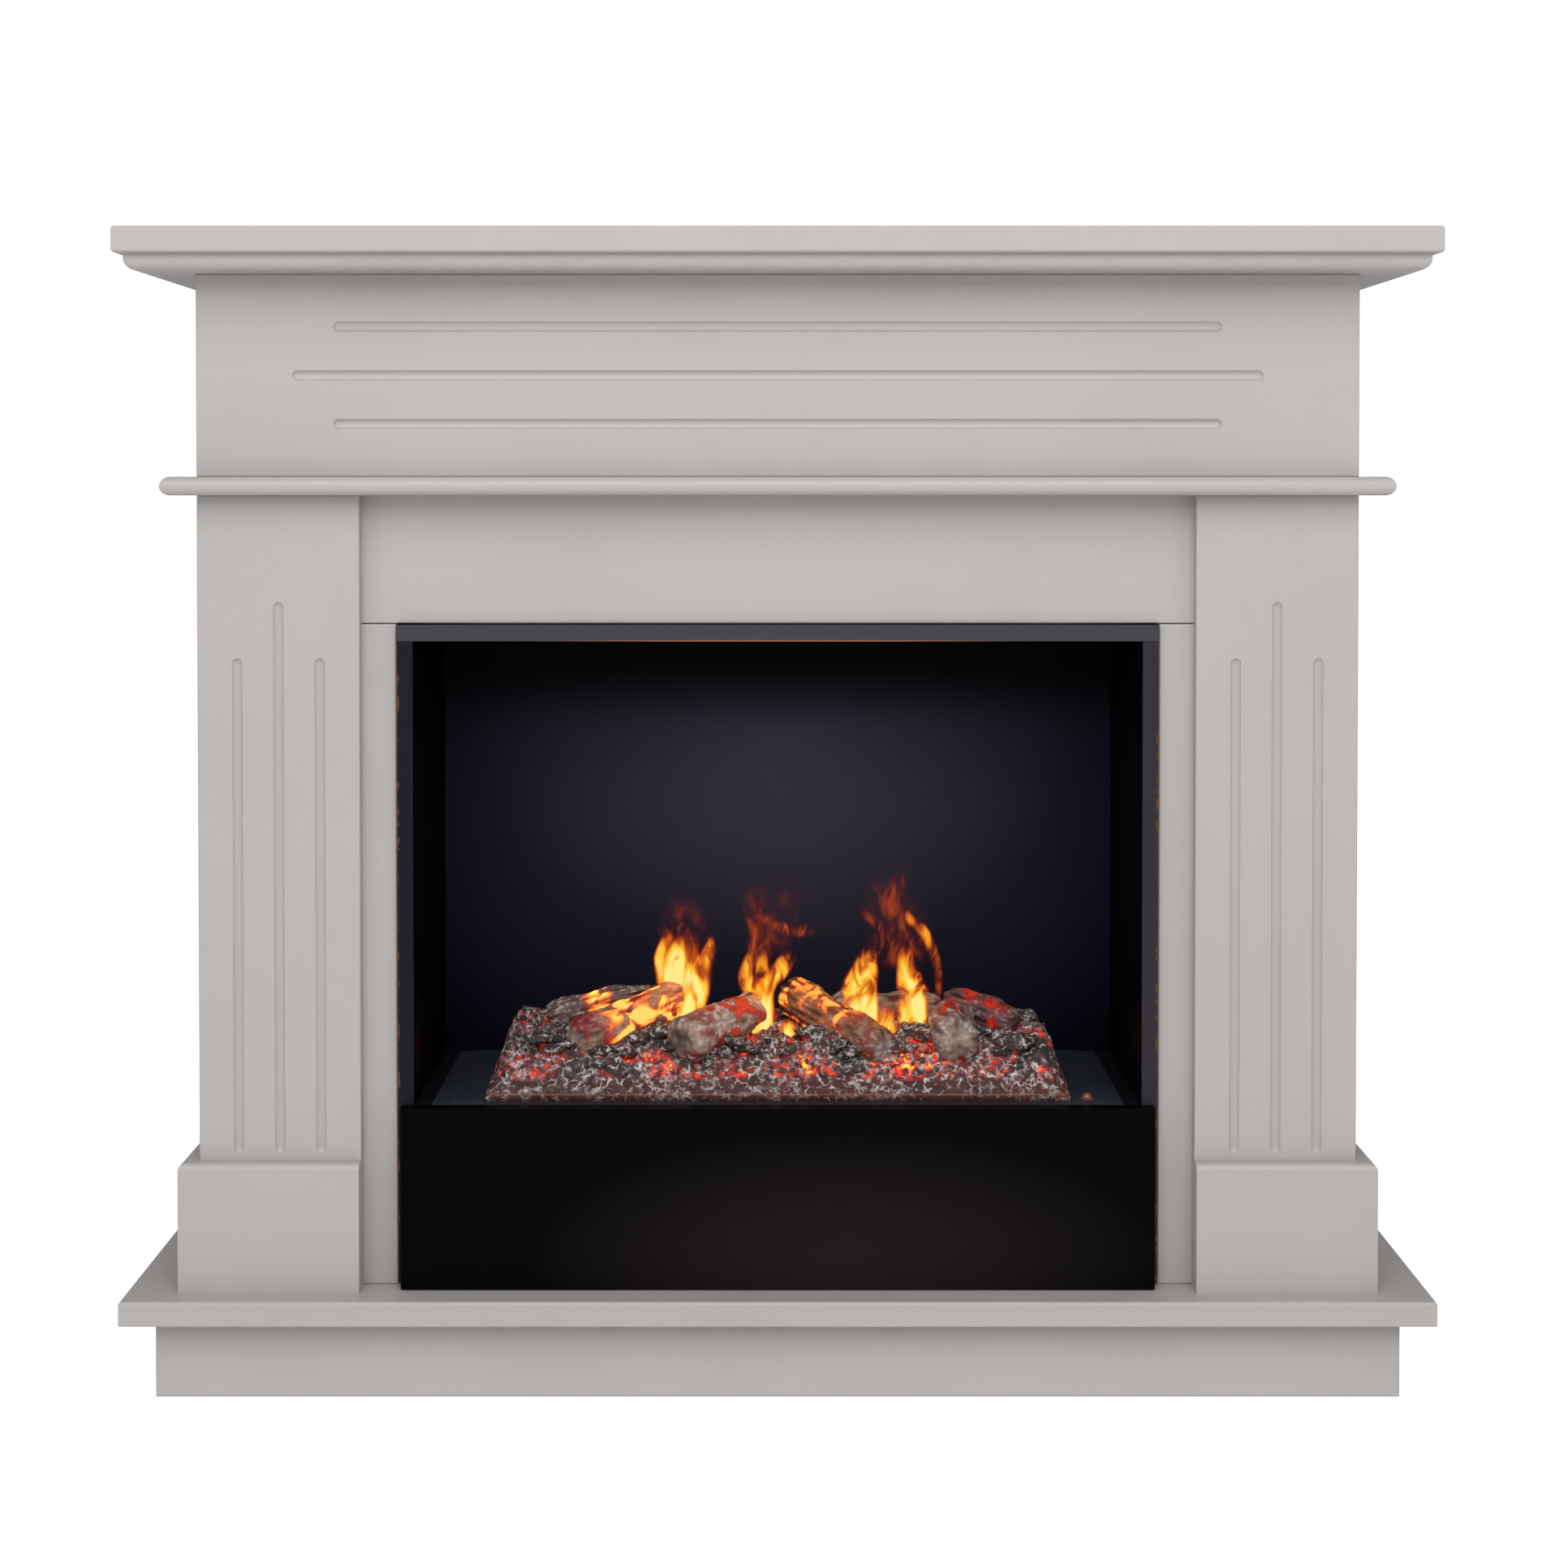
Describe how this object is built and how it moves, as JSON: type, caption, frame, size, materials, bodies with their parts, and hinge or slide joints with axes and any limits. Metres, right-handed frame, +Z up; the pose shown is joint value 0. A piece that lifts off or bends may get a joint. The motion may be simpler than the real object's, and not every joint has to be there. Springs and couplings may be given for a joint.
{
  "type": "electric fireplace",
  "caption": "Grey mantel surround around a black electric firebox with a log bed over a pull-out water-mist drawer.",
  "frame": {"origin": "on the floor, at the centre of the bounding box", "axes": "+Z up, front faces -Y, the flat wall side faces +Y, +X to the viewer's right"},
  "size_m": [1.265, 0.376, 1.129],
  "materials": {
    "grey_paint": "satin paint on smooth fibreboard",
    "raw_board": "unpainted fibreboard",
    "hardboard": "hardboard, smooth side out",
    "black_laminate": "black laminated board, fine grain",
    "navy_laminate": "very dark blue laminated board",
    "steel_dark": "dark slate powder coat",
    "zinc_steel": "zinc plated",
    "ember_resin": "painted translucent resin with ash",
    "log_resin": "painted translucent resin, bark and cut ends",
    "mist_plastic": "moulded white plastic",
    "black_plastic": "moulded black plastic",
    "tank_plastic": "tinted translucent plastic",
    "cap_plastic": "moulded blue plastic",
    "float_foam": "orange foam plastic",
    "amber_lens": "amber translucent plastic",
    "lamp_glass": "halogen lamp, emissive when on",
    "board_green": "circuit board",
    "rocker_red": "red switch plastic",
    "button_white": "white switch plastic",
    "rubber_black": "rubber pad",
    "transducer_metal": "stainless steel with ceramic discs"
  },
  "bodies": {
    "surround": {"mantel_board": "grey_paint", "mantel_moulding": "grey_paint", "frieze_front": "grey_paint", "frieze_sides": "grey_paint", "mid_moulding": "grey_paint", "column_front_left": "grey_paint", "column_front_right": "grey_paint", "column_sides": "grey_paint", "niche_sides": "raw_board", "plinth_wrap_left": "grey_paint", "plinth_wrap_right": "grey_paint", "head_panel": "grey_paint", "stile_left": "grey_paint", "stile_right": "grey_paint", "hearth_board": "grey_paint", "kick_front": "grey_paint", "kick_sides": "grey_paint", "kick_rail": "raw_board", "frieze_back": "hardboard", "column_backs": "hardboard", "back_screws": "zinc_steel", "wall_brackets": "zinc_steel", "housing_top": "black_laminate", "housing_side_left": "black_laminate", "housing_side_right": "black_laminate", "housing_back": "navy_laminate", "housing_deck": "black_laminate", "housing_feet": "rubber_black", "burner_tray": "steel_dark", "cover_plates": "steel_dark", "ir_lens": "amber_lens", "lamps": "lamp_glass", "power_supply": "black_plastic", "mains_inlet": "black_plastic", "runner_outer": "zinc_steel"},
    "log_bed": {"ember_bed": "ember_resin", "log_back_left": "log_resin", "log_front_left": "log_resin", "log_stub": "log_resin", "log_cross": "log_resin", "log_rear": "log_resin", "log_round": "log_resin", "log_back_right": "log_resin"},
    "drawer": {"drawer_front": "black_laminate", "drawer_tray": "zinc_steel", "runner_inner": "zinc_steel", "mist_chamber": "mist_plastic", "mist_hood": "mist_plastic", "transducer": "transducer_metal", "fan_frame": "black_plastic", "water_tank": "tank_plastic", "control_box": "black_plastic", "control_board": "board_green"},
    "runner_slides": {"runner_middle": "zinc_steel"},
    "fan": {"fan_rotor": "black_plastic"},
    "cap": {"tank_cap": "cap_plastic"},
    "float": {"float_ring": "float_foam"},
    "rocker": {"mains_rocker": "rocker_red"},
    "flame_key": {"button_flame": "button_white"},
    "sound_key": {"button_sound": "button_white"}
  },
  "joints": [
    {"name": "drawer_slide", "type": "slide", "parent": "surround", "child": "drawer", "axis": [0, -1, 0], "range_m": [0, 0.2]},
    {"name": "runner_slide", "type": "slide", "parent": "surround", "child": "runner_slides", "axis": [0, -1, 0], "range_m": [0, 0.1]},
    {"name": "log_bed_lift", "type": "slide", "parent": "surround", "child": "log_bed", "axis": [0, 0, 1], "range_m": [0, 0.12]},
    {"name": "fan_spin", "type": "hinge", "parent": "drawer", "child": "fan", "pos_m": [0.2083, -0.0175, 0.184], "axis": [0, 0, 1], "continuous": true},
    {"name": "tank_cap_turn", "type": "hinge", "parent": "drawer", "child": "cap", "pos_m": [-0.2563, -0.002, 0.1195], "axis": [0, 0, 1], "range_deg": [0, 120]},
    {"name": "float_rise", "type": "slide", "parent": "drawer", "child": "float", "axis": [0, 0, 1], "range_m": [0, 0.025]},
    {"name": "mains_rocker_tilt", "type": "hinge", "parent": "drawer", "child": "rocker", "pos_m": [0.2933, -0.0805, 0.1655], "axis": [1, 0, 0], "range_deg": [-16, 0]},
    {"name": "flame_button_press", "type": "slide", "parent": "drawer", "child": "flame_key", "axis": [0, 0, -1], "range_m": [0, 0.0012], "stiffness_N_per_m": 300},
    {"name": "sound_button_press", "type": "slide", "parent": "drawer", "child": "sound_key", "axis": [0, 0, -1], "range_m": [0, 0.0012], "stiffness_N_per_m": 300}
  ],
  "couplings": [
    {"joint": "runner_slide", "follows": "drawer_slide", "ratio": 0.5}
  ]
}
